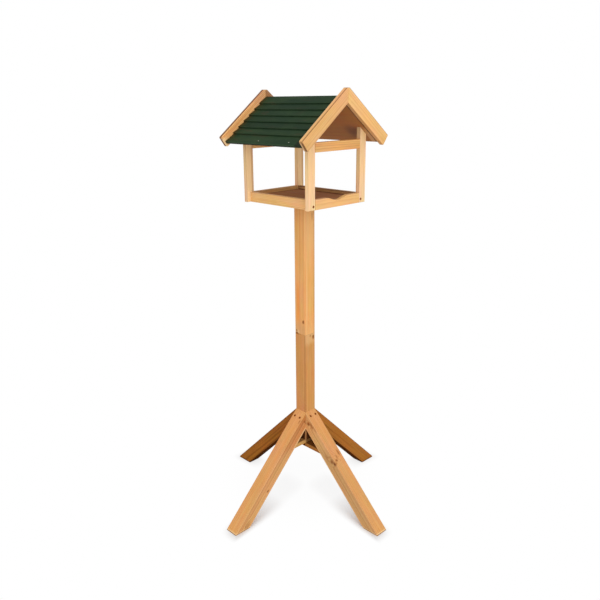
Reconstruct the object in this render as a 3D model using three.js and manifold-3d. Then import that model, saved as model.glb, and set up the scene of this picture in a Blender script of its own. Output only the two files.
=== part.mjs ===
// Bird table: a gabled feeding house of softwood on a two-length post with four raking legs.
// Millimetres, +Z up, origin on the ground under the post. The ridge runs along Y, and the
// gable whose tray rail is scooped faces -Y and is called the front.
import * as THREE from 'three';
import { mergeVertices } from 'three/addons/utils/BufferGeometryUtils.js';
import Module from 'manifold-3d';

const wasm = await Module();
wasm.setup();

// Clearances
const cutClearance = 0.3; // between sawn faces that meet on a slope
const fastenerClearance = 0.3; // round a screw, dowel or peg in its hole
const overrun = 2; // how far a cutting tool runs past the face it cuts

// Post, sawn from square stock in two lengths
const postSide = 47;
const lowerPostLength = 394;
const upperPostLength = 451;
const postArris = 2;
const jointDowelDiameter = 12;
const jointDowelLength = 80;
const dowelArris = 0.8;

// Four legs, sawn from square stock
const legSide = 47;
const legReach = 354; // from the post's axis to the toe of a foot
const toeHeight = 4; // toe sawn plumb
const legRake = THREE.MathUtils.degToRad(45);
const legArris = 3;
const sideLegScrewOut = 18; // level distance from the post to a screw in the left and right legs
const endLegScrewOut = 13.5; // the same in the front and rear legs, so that the screws pass
const legScrewSpacing = 24;
const legScrewLength = 45;

// Two crossed braces, one under the other, below the post's foot
const postTail = 42; // post below the undersides of the legs
const braceWidth = 40;
const braceThickness = 14.5;
const braceArris = 1.2;
const hubScrewLength = 65;

// House frame: upright corner battens with the tray rails and gable ties between them
const frameWidth = 253; // over the corner posts, across the ridge
const frameDepth = 288; // over the corner posts, along the ridge
const cornerPostWidth = 28;
const cornerPostDepth = 15;
const houseHeight = 304.5; // from the frame's lower edge to the peak of the roof's underside
const battenArris = 1;
const cornerScrewRise = 11; // above the frame's lower edge
const cornerScrewLength = 45;

// Tray
const railHeight = 30.5;
const railThickness = 15;
const scoopWidth = 100;
const scoopDepth = 10.5;
const floorThickness = 11;
const floorRise = 8; // floor's underside above the rails' lower edges
const floorArris = 0.6;
const trayScrewOffset = 11;
const trayScrewLength = 45;

// Gable ties, and the glued pegs that join ties and front and rear rails to the corner posts
const tieRise = 165.5; // lower edge above the frame's lower edge
const tieHeight = 28;
const pegDiameter = 6;
const pegLength = 12;
const pegRoot = 4; // peg inside the end it is glued into
const railPegRise = 22; // above the frame's lower edge

// Roof
const roofPitch = THREE.MathUtils.degToRad(37.5);
const gableOverhang = 25; // roof past the corner posts at each gable, if it stood midway
const roofSetback = 2; // how far the roof stands back of midway
const eaveOverhang = 39; // eave past the corner posts, measured level
const liningThickness = 6;
const liningSetback = 8; // lining's lower edge above the eave
const boardCount = 7;
const boardLap = 10.5;
const topBoardWidth = 31; // from the ridge
const eaveBoardWidth = 50;
const buttThickness = 9.5;
const featherThickness = 3.5;
const roofScrewInset = 9; // from a corner post's outer face
const roofScrewLength = 22;

// Barge boards
const bargeWidth = 37;
const bargeThickness = 14;
const bargeDrop = 4; // barge board below the roof's underside
const bargeTail = 3; // barge board past the eave
const bargeCorner = 3.5; // rounding of the lower corners
const peakFlat = 6; // half the blunt tip where two barge boards meet
const bargeArris = 1.2;

// Wood screws
const screwDiameter = 4;
const screwHeadDiameter = 8;
const screwHeadDepth = 2.8;
const screwHeadRim = 0.4;
const screwTip = 5;
const screwSink = 0.5;

// Facets
const scoopSteps = 18;
const screwSides = 10;
const dowelSides = 16;
const cornerSteps = 3;

// Levels and reaches that follow from the sizes above
const halfPost = postSide / 2;
const legTopHeight = toeHeight + (legReach - halfPost) * Math.tan(legRake);
const legUnderPost = legTopHeight - legSide / Math.cos(legRake);
const postFoot = legUnderPost - postTail;
const postJoint = postFoot + lowerPostLength;
const postTop = postJoint + upperPostLength;
const floorTop = postTop + floorThickness;
const frameFoot = postTop - floorRise;
const roofPeak = frameFoot + houseHeight;
const innerHalfWidth = frameWidth / 2 - cornerPostWidth;
const innerHalfDepth = frameDepth / 2 - cornerPostDepth;
const sideRailCentre = innerHalfWidth + railThickness / 2;
const roofHalfLength = frameDepth / 2 + gableOverhang;
const eaveRun = (frameWidth / 2 + eaveOverhang) / Math.cos(roofPitch); // down the underside from the peak
const quarterTurn = Math.PI / 2;

// One material for each kind of wood finish, and one for the screws
function timber(color, roughness = 0.72) {
  return new THREE.MeshStandardMaterial({ color, roughness, metalness: 0 });
}
const upperPostWood = timber(0xdea266);
const lowerPostWood = timber(0xc98e57);
const legWood = timber(0xdf9f62);
const braceWood = timber(0xd9a678);
const houseWood = timber(0xf0c896);
const railWood = timber(0xecbd80);
const floorWood = timber(0x7a4f3a);
const liningWood = timber(0x80563a);
const bargeWood = timber(0xf4be7c);
const greenStain = timber(0x36473a, 0.6);
const beech = timber(0xd8b48a);
const zincSteel = new THREE.MeshStandardMaterial({ color: 0x8d8a84, roughness: 0.4, metalness: 0.9 });

// Two-way names: which gable and which slope, with the side of the origin that each is on
const gables = [['front', -1], ['rear', 1]];
const slopes = [['left', -1], ['right', 1]];
const legNames = ['right', 'rear', 'left', 'front'];

// Solids
function solidFrom(geometry) {
  geometry.deleteAttribute('normal');
  geometry.deleteAttribute('uv');
  const welded = mergeVertices(geometry);
  const mesh = new wasm.Mesh({
    numProp: 3,
    vertProperties: new Float32Array(welded.attributes.position.array),
    triVerts: new Uint32Array(welded.index.array),
  });
  return new wasm.Manifold(mesh);
}

function geometryFrom(solid) {
  const mesh = solid.getMesh();
  const geometry = new THREE.BufferGeometry();
  geometry.setAttribute('position', new THREE.BufferAttribute(mesh.vertProperties, 3));
  geometry.setIndex(new THREE.BufferAttribute(mesh.triVerts, 1));
  const faceted = geometry.toNonIndexed();
  faceted.computeVertexNormals();
  return faceted;
}

// A place: shifted, then turned about Z, then tilted about Y.
function at(x, y, z, turn = 0, tilt = 0) {
  const place = new THREE.Matrix4().makeTranslation(x, y, z);
  place.multiply(new THREE.Matrix4().makeRotationZ(turn));
  return place.multiply(new THREE.Matrix4().makeRotationY(tilt));
}

// A flat outline of [x, z] pairs in the XZ plane, run along Y from -run / 2 to run / 2,
// with its two faces eased all round.
function board(outline, run, arris = 0) {
  const shape = new THREE.Shape(outline.map(([x, z]) => new THREE.Vector2(x, z)));
  const geometry = new THREE.ExtrudeGeometry(shape, {
    depth: run - 2 * arris,
    bevelEnabled: arris > 0,
    bevelThickness: arris,
    bevelSize: arris,
    bevelOffset: -arris,
    bevelSegments: 1,
  });
  geometry.translate(0, 0, arris - run / 2);
  geometry.rotateX(quarterTurn);
  return solidFrom(geometry);
}

function levelOutline(halfLength, height) {
  return [[-halfLength, 0], [halfLength, 0], [halfLength, height], [-halfLength, height]];
}

// A square bar along +Z with its four long edges rounded.
function roundedBar(side, length, arris) {
  const shape = new THREE.Shape();
  const centre = side / 2 - arris;
  const corners = [[1, 1], [-1, 1], [-1, -1], [1, -1]];
  corners.forEach(([x, y], corner) => {
    shape.absarc(x * centre, y * centre, arris, corner * quarterTurn, (corner + 1) * quarterTurn);
  });
  const shapeSteps = { depth: length, bevelEnabled: false, curveSegments: cornerSteps };
  return solidFrom(new THREE.ExtrudeGeometry(shape, shapeSteps));
}

function box(width, depth, height) {
  return solidFrom(new THREE.BoxGeometry(width, depth, height));
}

// A round body about Z, from [radius, z] pairs listed from the bottom up.
function turned(profile, sides) {
  const geometry = new THREE.LatheGeometry(profile.map(([r, z]) => new THREE.Vector2(r, z)), sides);
  geometry.rotateX(quarterTurn);
  return solidFrom(geometry);
}

// Fasteners: each has a place, a body, and the hole that the wood round it gets
// A countersunk wood screw, driven down -Z from a face at its origin.
function screw(length, place) {
  const neck = -screwSink - screwHeadDepth;
  const profile = (gap, top) => [
    [0, -length - gap],
    [screwDiameter / 2 + gap, screwTip - length - gap],
    [screwDiameter / 2 + gap, neck - gap],
    [screwHeadDiameter / 2 + gap, -screwSink - screwHeadRim - gap],
    [screwHeadDiameter / 2 + gap, top],
    [0, top],
  ];
  return {
    place,
    body: turned(profile(0, -screwSink), screwSides),
    hole: turned(profile(fastenerClearance, overrun), screwSides),
  };
}

// A plain round pin along Z, from bottom to top, with eased ends.
function pin(diameter, bottom, top, place) {
  const profile = (gap) => [
    [0, bottom - gap],
    [diameter / 2 + gap - dowelArris, bottom - gap],
    [diameter / 2 + gap, bottom - gap + dowelArris],
    [diameter / 2 + gap, top + gap - dowelArris],
    [diameter / 2 + gap - dowelArris, top + gap],
    [0, top + gap],
  ];
  const hole = turned(profile(fastenerClearance), dowelSides);
  return { place, body: turned(profile(0), dowelSides), hole };
}

const table = new THREE.Group();

// Adds one named piece. Its body is drawn in its own frame, loses the holes for the fasteners
// that it takes, and gains the pegs that are glued into it.
function addPiece(name, material, body, place, fasteners = [], pegs = []) {
  const intoPiece = place.clone().invert();
  const local = (fastener) => intoPiece.clone().multiply(fastener.place).elements;
  let solid = body;
  for (const fastener of fasteners) {
    solid = solid.subtract(fastener.hole.transform(local(fastener)));
  }
  for (const peg of pegs) {
    solid = solid.add(peg.body.transform(local(peg)));
  }
  const mesh = new THREE.Mesh(geometryFrom(solid), material);
  mesh.name = name;
  mesh.applyMatrix4(place);
  table.add(mesh);
}

// Post: two lengths butted end to end over a dowel
const jointDowel = pin(jointDowelDiameter, -jointDowelLength / 2, jointDowelLength / 2, at(0, 0, postJoint));

function addPost(screwsBelow, screwsAbove) {
  addPiece('lower_post', lowerPostWood, roundedBar(postSide, lowerPostLength, postArris),
    at(0, 0, postFoot), [...screwsBelow, jointDowel]);
  addPiece('upper_post', upperPostWood, roundedBar(postSide, upperPostLength, postArris),
    at(0, 0, postJoint), [...screwsAbove, jointDowel]);
  addPiece('post_joint_dowel', beech, jointDowel.body, jointDowel.place);
}

// Legs: each is a bar that rakes down past the ground, mitred plumb against one face of the post
// and sawn level at the foot, with the toe sawn plumb
function legBody() {
  const along = [Math.cos(legRake), -Math.sin(legRake)];
  const toeX = legReach - (legSide / 2) * Math.sin(legRake) + legSide * along[0];
  const toeZ = toeHeight - (legSide / 2) * Math.cos(legRake) + legSide * along[1];
  const barLength = (legReach - halfPost) / along[0] + 3 * legSide;
  const bar = roundedBar(legSide, barLength, legArris);
  const keep = box(legReach - halfPost, 2 * legSide, legTopHeight + overrun);
  const between = keep.translate((legReach + halfPost) / 2, 0, (legTopHeight + overrun) / 2);
  return bar.transform(at(toeX, 0, toeZ, 0, legRake - quarterTurn).elements).intersect(between);
}

function legScrews(index) {
  const out = index % 2 === 0 ? sideLegScrewOut : endLegScrewOut;
  const height = legTopHeight - out * Math.tan(legRake);
  return [-1, 1].map((side) => {
    const place = at(halfPost + out, (side * legScrewSpacing) / 2, height, 0, legRake);
    return screw(legScrewLength, at(0, 0, 0, index * quarterTurn).multiply(place));
  });
}

function addLegs(screwsOfLeg) {
  legNames.forEach((name, index) => {
    addPiece(`${name}_leg`, legWood, legBody(), at(0, 0, 0, index * quarterTurn), screwsOfLeg[index]);
    screwsOfLeg[index].forEach(({ body, place }, number) => {
      addPiece(`${name}_leg_screw_${number + 1}`, zincSteel, body, place);
    });
  });
}

// Braces: one crosses under the other, and their ends are sawn to seat against the undersides
// of the legs
const upperBraceFoot = postFoot - braceThickness;
const lowerBraceFoot = upperBraceFoot - braceThickness;

function braceBody(foot) {
  const clearance = cutClearance / Math.sin(legRake);
  const halfAt = (z) => halfPost + (legUnderPost - z) / Math.tan(legRake) - clearance;
  const low = halfAt(foot);
  const high = halfAt(foot + braceThickness);
  const outline = [[-low, 0], [low, 0], [high, braceThickness], [-high, braceThickness]];
  return board(outline, braceWidth, braceArris);
}

const hubScrew = screw(hubScrewLength, at(0, 0, lowerBraceFoot, 0, Math.PI));

function addBraces() {
  addPiece('brace_across', braceWood, braceBody(upperBraceFoot), at(0, 0, upperBraceFoot), [hubScrew]);
  addPiece('brace_along', braceWood, braceBody(lowerBraceFoot),
    at(0, 0, lowerBraceFoot, quarterTurn), [hubScrew]);
  addPiece('brace_screw', zincSteel, hubScrew.body, hubScrew.place);
}

// Tray: a floor screwed down into the post's end, between four rails
const trayScrews = [-1, 1].map((side) =>
  screw(trayScrewLength, at(side * trayScrewOffset, side * trayScrewOffset, floorTop)));

function addTrayFloor() {
  const panel = board(levelOutline(innerHalfWidth, floorThickness), 2 * innerHalfDepth, floorArris);
  addPiece('tray_floor', floorWood, panel, at(0, 0, postTop), trayScrews);
  trayScrews.forEach(({ body, place }, number) => {
    addPiece(`tray_screw_${number + 1}`, zincSteel, body, place);
  });
}

// The front rail's upper edge dips in one smooth wave between two shoulders.
function scoopedOutline() {
  const outline = [[-innerHalfWidth, railHeight], [-innerHalfWidth, 0], [innerHalfWidth, 0],
    [innerHalfWidth, railHeight]];
  for (let step = 0; step <= scoopSteps; step += 1) {
    const acrossShare = 1 - (2 * step) / scoopSteps;
    const dip = (scoopDepth * (1 + Math.cos(acrossShare * Math.PI))) / 2;
    outline.push([(acrossShare * scoopWidth) / 2, railHeight - dip]);
  }
  return outline;
}

// A glued peg that runs out of the end of a gable's rail or tie into a corner post.
function peg(side, end, z) {
  const y = (end * (frameDepth - cornerPostDepth)) / 2;
  return pin(pegDiameter, -pegRoot, pegLength, at(side * innerHalfWidth, y, z, 0, side * quarterTurn));
}
const railPeg = (side, end) => peg(side, end, frameFoot + railPegRise);
const tiePeg = (side, end) => peg(side, end, frameFoot + tieRise + tieHeight / 2);

// A screw through a corner post's gable face into the end of a side rail.
function cornerScrew(side, end) {
  const place = at(side * sideRailCentre, (end * frameDepth) / 2, frameFoot + cornerScrewRise);
  const outward = new THREE.Matrix4().makeRotationX(-end * quarterTurn);
  return screw(cornerScrewLength, place.multiply(outward));
}

function addRails() {
  for (const [gable, end] of gables) {
    const outline = end < 0 ? scoopedOutline() : levelOutline(innerHalfWidth, railHeight);
    const place = at(0, (end * (frameDepth - railThickness)) / 2, frameFoot);
    const pegs = slopes.map(([, side]) => railPeg(side, end));
    addPiece(`${gable}_rail`, railWood, board(outline, railThickness, battenArris), place, [], pegs);
  }
  for (const [slope, side] of slopes) {
    const body = board(levelOutline(innerHalfDepth, railHeight), railThickness, battenArris);
    const place = at(side * sideRailCentre, 0, frameFoot, quarterTurn);
    addPiece(`${slope}_rail`, railWood, body, place, gables.map(([, end]) => cornerScrew(side, end)));
  }
}

// Roof slopes are drawn in a frame of their own, with X down the roof's underside from the
// peak and Z square to it.
function slopeFrame(side) {
  return at(0, roofSetback, roofPeak, side > 0 ? 0 : Math.PI).multiply(at(0, 0, 0, 0, roofPitch));
}

// Where the plumb face over the ridge stands, at a height above the underside.
function ridgeAt(rise) {
  return cutClearance / 2 / Math.cos(roofPitch) - rise * Math.tan(roofPitch);
}

// A screw through the lining into the sloped top of a corner post.
function roofScrew(side, end) {
  const out = frameWidth / 2 - roofScrewInset;
  const run = out / Math.cos(roofPitch) - liningThickness * Math.tan(roofPitch);
  const y = side * ((end * (frameDepth - cornerPostDepth)) / 2 - roofSetback);
  return screw(roofScrewLength, slopeFrame(side).multiply(at(run, y, liningThickness)));
}

// House frame: four corner posts with tops that follow the roof, and a tie at each gable
function cornerPostOutline(side) {
  const inner = side * innerHalfWidth;
  const outer = (side * frameWidth) / 2;
  const topAt = (x) => roofPeak - Math.abs(x) * Math.tan(roofPitch) - cutClearance / Math.cos(roofPitch);
  return [[inner, frameFoot], [outer, frameFoot], [outer, topAt(outer)], [inner, topAt(inner)]];
}

function addCorner(gable, end, slope, side) {
  const name = `${gable}_${slope}_corner`;
  const driven = [cornerScrew(side, end), roofScrew(side, end)];
  const body = board(cornerPostOutline(side), cornerPostDepth, battenArris);
  const place = at(0, (end * (frameDepth - cornerPostDepth)) / 2, 0);
  addPiece(`${name}_post`, houseWood, body, place, [...driven, railPeg(side, end), tiePeg(side, end)]);
  addPiece(`${name}_screw`, zincSteel, driven[0].body, driven[0].place);
  addPiece(`${name}_roof_screw`, zincSteel, driven[1].body, driven[1].place);
}

function addHouseFrame() {
  for (const [gable, end] of gables) {
    slopes.forEach(([slope, side]) => addCorner(gable, end, slope, side));
    const body = board(levelOutline(innerHalfWidth, tieHeight), cornerPostDepth, battenArris);
    const place = at(0, (end * (frameDepth - cornerPostDepth)) / 2, frameFoot + tieRise);
    addPiece(`${gable}_gable_tie`, houseWood, body, place, [], slopes.map(([, side]) => tiePeg(side, end)));
  }
}

// Roof boards lie flat on the lining. Each tapers up to a feather edge, and its rebated butt
// laps the feather edge of the next board down. The top board is narrower, and the eave board is
// wider and has a full butt.
const boardBack = liningThickness + cutClearance;
const topButt = ridgeAt(boardBack) + topBoardWidth;
const lastLap = eaveRun - eaveBoardWidth + boardLap;
const boardExposure = (lastLap - topButt) / (boardCount - 2);
const boardWidth = boardExposure + boardLap;

// How far a board's face has thinned, a distance up from its butt.
function faceFall(up, width) {
  return ((buttThickness - featherThickness) * up) / width;
}

function widthOfBoard(index) {
  if (index === 0) return topBoardWidth;
  return index === boardCount - 1 ? eaveBoardWidth : boardWidth;
}

function roofBoardOutline(index) {
  const isEave = index === boardCount - 1;
  const width = widthOfBoard(index);
  const butt = isEave ? eaveRun : topButt + index * boardExposure;
  const up = index === 0 ? butt - ridgeAt(boardBack + buttThickness) + overrun : width;
  const nextWidth = widthOfBoard(index + 1);
  const lapped = buttThickness - faceFall(nextWidth - boardLap, nextWidth);
  const rebateRun = isEave ? 0 : boardLap + cutClearance;
  const rebateTop = isEave ? boardBack : boardBack + lapped + cutClearance;
  const faceTop = boardBack + buttThickness;
  const back = [[butt - up, boardBack], [butt - rebateRun, boardBack]];
  const rebate = [[butt - rebateRun, rebateTop], [butt, rebateTop]];
  const face = [[butt, faceTop], [butt - up, faceTop - faceFall(up, width)]];
  return isEave ? [...back, ...face] : [...back, ...rebate, ...face];
}

function cutAtRidge(body) {
  const size = boardWidth + eaveBoardWidth;
  const keep = box(2 * size, 4 * roofHalfLength, 2 * size).translate(size + cutClearance / 2, 0, 0);
  return body.intersect(keep.transform(at(0, 0, 0, 0, -roofPitch).elements));
}

function addRoofBoards(slope, side) {
  for (let index = 0; index < boardCount; index += 1) {
    const body = board(roofBoardOutline(index), 2 * roofHalfLength);
    const trimmed = index === 0 ? cutAtRidge(body) : body;
    addPiece(`${slope}_roof_board_${index + 1}`, greenStain, trimmed, slopeFrame(side));
  }
}

function addRoofLining(slope, side) {
  const low = eaveRun - liningSetback;
  const high = ridgeAt(liningThickness);
  const outline = [[ridgeAt(0), 0], [low, 0], [low, liningThickness], [high, liningThickness]];
  const screws = gables.map(([, end]) => roofScrew(side, end));
  addPiece(`${slope}_roof_lining`, liningWood, board(outline, 2 * roofHalfLength), slopeFrame(side), screws);
}

// Barge boards cover the roof's ends: mitred plumb at a blunt peak, sawn square at the eaves.
function bargeOutline() {
  const top = bargeWidth - bargeDrop;
  const tail = eaveRun + bargeTail - bargeCorner;
  const peakDrop = peakFlat * Math.tan(roofPitch);
  const cutTop = top - peakDrop * Math.cos(roofPitch);
  const outline = [[ridgeAt(cutTop), cutTop], [ridgeAt(-bargeDrop), -bargeDrop]];
  for (const [z, quarter] of [[bargeCorner - bargeDrop, -1], [top - bargeCorner, 0]]) {
    for (let step = 0; step <= cornerSteps; step += 1) {
      const turn = (quarter + step / cornerSteps) * quarterTurn;
      outline.push([tail + bargeCorner * Math.cos(turn), z + bargeCorner * Math.sin(turn)]);
    }
  }
  outline.push([ridgeAt(top) + peakFlat / Math.cos(roofPitch), top]);
  return outline;
}

function addBargeBoards(slope, side) {
  for (const [gable, end] of gables) {
    const y = end * side * (roofHalfLength + bargeThickness / 2);
    const place = slopeFrame(side).multiply(at(0, y, 0));
    const body = board(bargeOutline(), bargeThickness, bargeArris);
    addPiece(`${gable}_${slope}_barge_board`, bargeWood, body, place);
  }
}

const screwsOfLeg = legNames.map((_, index) => legScrews(index));
addPost([...screwsOfLeg.flat(), hubScrew], trayScrews);
addLegs(screwsOfLeg);
addBraces();
addTrayFloor();
addRails();
addHouseFrame();
for (const [slope, side] of slopes) {
  addRoofLining(slope, side);
  addRoofBoards(slope, side);
  addBargeBoards(slope, side);
}

export default table;
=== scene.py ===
import math

import bpy
from mathutils import Euler, Matrix, Vector


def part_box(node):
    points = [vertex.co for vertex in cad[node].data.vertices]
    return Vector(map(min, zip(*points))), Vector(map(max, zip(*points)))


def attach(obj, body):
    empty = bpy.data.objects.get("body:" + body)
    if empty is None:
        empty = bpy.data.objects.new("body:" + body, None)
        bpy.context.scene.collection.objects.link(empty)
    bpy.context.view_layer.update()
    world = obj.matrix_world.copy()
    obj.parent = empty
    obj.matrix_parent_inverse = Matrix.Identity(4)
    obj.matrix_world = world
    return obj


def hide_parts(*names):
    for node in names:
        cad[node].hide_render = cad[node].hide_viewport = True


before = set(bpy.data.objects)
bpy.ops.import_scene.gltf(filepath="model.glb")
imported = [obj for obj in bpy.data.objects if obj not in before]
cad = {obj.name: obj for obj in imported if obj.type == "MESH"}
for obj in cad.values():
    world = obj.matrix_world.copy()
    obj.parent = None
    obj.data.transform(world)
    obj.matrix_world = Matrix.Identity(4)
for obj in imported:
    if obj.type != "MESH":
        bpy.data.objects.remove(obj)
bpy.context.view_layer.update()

# The post
# Two lengths of planed 47 mm pine, butted end to end over a hidden dowel. The upper length is
# pale sapwood with orange streaks, and the lower one is redder heartwood, both oiled. A few
# small knots stand round the joint, and a drying crack near the top of the upper length.
POST_SIDE = 0.047
POST_FOOT, POST_JOINT = (corner.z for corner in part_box("lower_post"))
POST_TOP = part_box("upper_post")[1].z


def plug(tree, node, inputs):
    """Links each input that is given another node or its output, and sets any other."""
    for socket, value in inputs.items():
        if isinstance(value, bpy.types.Node):
            value = value.outputs[0]
        if isinstance(value, bpy.types.NodeSocket):
            tree.links.new(value, node.inputs[socket])
        else:
            node.inputs[socket].default_value = value


def wire(tree, kind, settings=None, inputs=None):
    node = tree.nodes.new(kind)
    for name, value in (settings or {}).items():
        setattr(node, name, value)
    plug(tree, node, inputs or {})
    return node


def maths(tree, operation, *values):
    return wire(tree, "ShaderNodeMath", {"operation": operation}, dict(enumerate(values))).outputs[0]


def product(tree, first, *others):
    for other in others:
        first = maths(tree, "MULTIPLY", first, other)
    return first


def most(tree, first, *others):
    for other in others:
        first = maths(tree, "MAXIMUM", first, other)
    return first


def vector_maths(tree, operation, first, second):
    return wire(tree, "ShaderNodeVectorMath", {"operation": operation}, {0: first, 1: second}).outputs[0]


def measure(tree, operation, *vectors):
    """A length, a distance or a dot product."""
    node = wire(tree, "ShaderNodeVectorMath", {"operation": operation}, dict(enumerate(vectors)))
    return node.outputs["Value"]


def split(tree, vector):
    return wire(tree, "ShaderNodeSeparateXYZ", {}, {0: vector}).outputs


def combine(tree, x=0.0, y=0.0, z=0.0):
    return wire(tree, "ShaderNodeCombineXYZ", {}, {0: x, 1: y, 2: z}).outputs[0]


def ease(tree, value, start, end):
    """0 at start and 1 at end, with a smooth run between them."""
    inputs = {"Value": value, "From Min": start, "From Max": end}
    return wire(tree, "ShaderNodeMapRange", {"interpolation_type": "SMOOTHSTEP"}, inputs).outputs[0]


def blend(tree, share, first, second, kind="MIX"):
    settings = {"data_type": "RGBA", "blend_type": kind}
    return wire(tree, "ShaderNodeMix", settings, {0: share, 6: first, 7: second}).outputs[2]


def noise(tree, place, stretch, detail=2.0, roughness=0.5, output="Fac"):
    """Noise whose cells are as many to the metre along each axis as stretch says."""
    stretched = vector_maths(tree, "MULTIPLY", place, stretch)
    inputs = {"Vector": stretched, "Scale": 1.0, "Detail": detail, "Roughness": roughness}
    return wire(tree, "ShaderNodeTexNoise", {}, inputs).outputs[output]


def new_group(name, inputs, outputs, kind="ShaderNodeTree"):
    tree = bpy.data.node_groups.new(name, kind)
    for socket, (socket_type, value) in inputs.items():
        made = tree.interface.new_socket(socket, in_out="INPUT", socket_type="NodeSocket" + socket_type)
        if value is not None:
            made.default_value = value
    for socket, socket_type in outputs.items():
        tree.interface.new_socket(socket, in_out="OUTPUT", socket_type="NodeSocket" + socket_type)
    return tree, tree.nodes.new("NodeGroupInput").outputs, tree.nodes.new("NodeGroupOutput").inputs


def stain(red, green, blue):
    """A colour as a paint chart gives it, 0 to 255, in the linear light that a shader works in."""
    chart = [channel / 255 for channel in (red, green, blue)]
    linear = [c / 12.92 if c <= 0.04045 else ((c + 0.055) / 1.055) ** 2.4 for c in chart]
    return (*linear, 1.0)


# Softwood, cut from a log whose pith runs along the piece's own Z: growth rings with dark
# latewood, fine fibres, broad streaks of warmer wood, clouds of tone, and darker, thirstier end
# grain. Pale, Dark and Warmth are how far the wood is worn clean, how far it has drunk the stain,
# and how far a resinous streak colours it. On many pieces they also carry painted light and
# painted shade.
softwood, given, made = new_group("softwood", {
    "Place": ("Vector", None), "Normal": ("Vector", None), "Grain": ("Vector", None),
    "Early": ("Color", None), "Late": ("Color", None), "Warm": ("Color", None),
    "Pith": ("Vector", None), "Ring Width": ("Float", 0.004), "Wander": ("Float", 0.004),
    "Contrast": ("Float", 0.6), "Streaks": ("Float", 0.5), "Bulge": ("Float", 0.0),
    "Core": ("Float", 0.0), "Rim": ("Float", 0.0), "Pale": ("Float", 0.0), "Dark": ("Float", 0.0),
    "Warmth": ("Float", 0.0),
}, {"Color": "Color", "Roughness": "Float", "Height": "Float"})
drift = noise(softwood, given["Place"], (9, 9, 2.4), output="Color")
drift = vector_maths(softwood, "SUBTRACT", drift, (0.5, 0.5, 0.5))
inputs = {0: drift, "Scale": given["Wander"]}
drift = wire(softwood, "ShaderNodeVectorMath", {"operation": "SCALE"}, inputs)
from_pith = vector_maths(softwood, "SUBTRACT", given["Place"], given["Pith"])
from_pith = vector_maths(softwood, "ADD", from_pith, drift)
from_pith = vector_maths(softwood, "MULTIPLY", from_pith, (1, 1, 0))
out = measure(softwood, "LENGTH", from_pith)
rings = maths(softwood, "DIVIDE", maths(softwood, "ADD", out, given["Bulge"]), given["Ring Width"])
through = maths(softwood, "FRACT", rings)
late = product(softwood, ease(softwood, through, 0.3, 0.86), ease(softwood, through, 1.0, 0.93))
year = wire(softwood, "ShaderNodeTexWhiteNoise", {"noise_dimensions": "1D"},
            {"W": maths(softwood, "FLOOR", rings)}).outputs["Value"]
late = product(softwood, late, maths(softwood, "MULTIPLY_ADD", year, 0.7, 0.3))
fibre = noise(softwood, given["Place"], (1500, 1500, 30))
streak = ease(softwood, noise(softwood, given["Place"], (130, 130, 2.6), 3.0, 0.6), 0.36, 0.66)
cloud = noise(softwood, given["Place"], (34, 34, 9), 3.0, 0.6, "Color")
contrast = maths(softwood, "MULTIPLY_ADD", given["Bulge"], 60.0, given["Contrast"])
contrast = product(softwood, late, maths(softwood, "MINIMUM", contrast, 1.3))
colour = blend(softwood, contrast, given["Early"], given["Late"])
streak = most(softwood, product(softwood, streak, given["Streaks"]), given["Warmth"])
colour = blend(softwood, streak, colour, given["Warm"])
tone = wire(softwood, "ShaderNodeMapRange", {"data_type": "FLOAT_VECTOR"}, {
    "Vector": cloud, 7: (0.3, 0.3, 0.3), 8: (0.7, 0.7, 0.7), 9: (0.93, 0.9, 0.84), 10: (1.04, 1.06, 1.1)})
colour = blend(softwood, 1.0, colour, tone.outputs[1], "MULTIPLY")
fleck = maths(softwood, "MULTIPLY_ADD", fibre, 0.32, 0.84)
colour = blend(softwood, 1.0, colour, fleck, "MULTIPLY")
facing = measure(softwood, "DOT_PRODUCT", given["Normal"], given["Grain"])
end_grain = ease(softwood, maths(softwood, "ABSOLUTE", facing), 0.55, 0.8)
darker = blend(softwood, 1.0, colour, (0.52, 0.42, 0.34, 1), "MULTIPLY")
colour = blend(softwood, end_grain, colour, darker)
colour = blend(softwood, given["Pale"], colour, stain(248, 214, 160))
colour = blend(softwood, given["Core"], colour, stain(152, 86, 32))
colour = blend(softwood, given["Rim"], colour, stain(88, 42, 14))
colour = blend(softwood, given["Dark"], colour, stain(70, 34, 12))
softwood.links.new(colour, made["Color"])
softwood.links.new(maths(softwood, "MULTIPLY_ADD", fibre, 0.2, 0.5), made["Roughness"])
relief = maths(softwood, "MULTIPLY_ADD", late, 0.35, fibre)
softwood.links.new(maths(softwood, "SUBTRACT", relief, given["Rim"]), made["Height"])

# A knot: branch wood that darkens raggedly to its middle, inside a crescent of bark, and the
# growth rings sweep round it.
knot, given, made = new_group("knot", {
    "Place": ("Vector", None), "Centre": ("Vector", None), "Size": ("Vector", None),
    "Heart": ("Float", 0.7), "Bark": ("Float", 0.7), "Sweep": ("Float", 0.006),
    "Bulge": ("Float", 0.0), "Core": ("Float", 0.0), "Rim": ("Float", 0.0),
}, {"Bulge": "Float", "Core": "Float", "Rim": "Float"})
away = vector_maths(knot, "SUBTRACT", given["Place"], given["Centre"])
away = vector_maths(knot, "DIVIDE", away, given["Size"])
lean = measure(knot, "DOT_PRODUCT", away, (0.5, 0.4, 0.75))
ragged = maths(knot, "SUBTRACT", noise(knot, given["Place"], (300, 300, 120), 3.0), 0.5)
away = measure(knot, "LENGTH", away)
away = maths(knot, "MULTIPLY_ADD", ragged, 1.3, away)
sweep = maths(knot, "POWER", 0.6, product(knot, away, away))
knot.links.new(maths(knot, "MULTIPLY_ADD", sweep, given["Sweep"], given["Bulge"]), made["Bulge"])
heart = product(knot, ease(knot, away, 1.5, 0.2), given["Heart"])
knot.links.new(most(knot, heart, given["Core"]), made["Core"])
rim = product(knot, ease(knot, away, 0.1, 0.7), ease(knot, away, 1.3, 0.8), ease(knot, lean, -0.5, 0.7),
              given["Bark"])
knot.links.new(most(knot, rim, given["Rim"]), made["Rim"])


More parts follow.
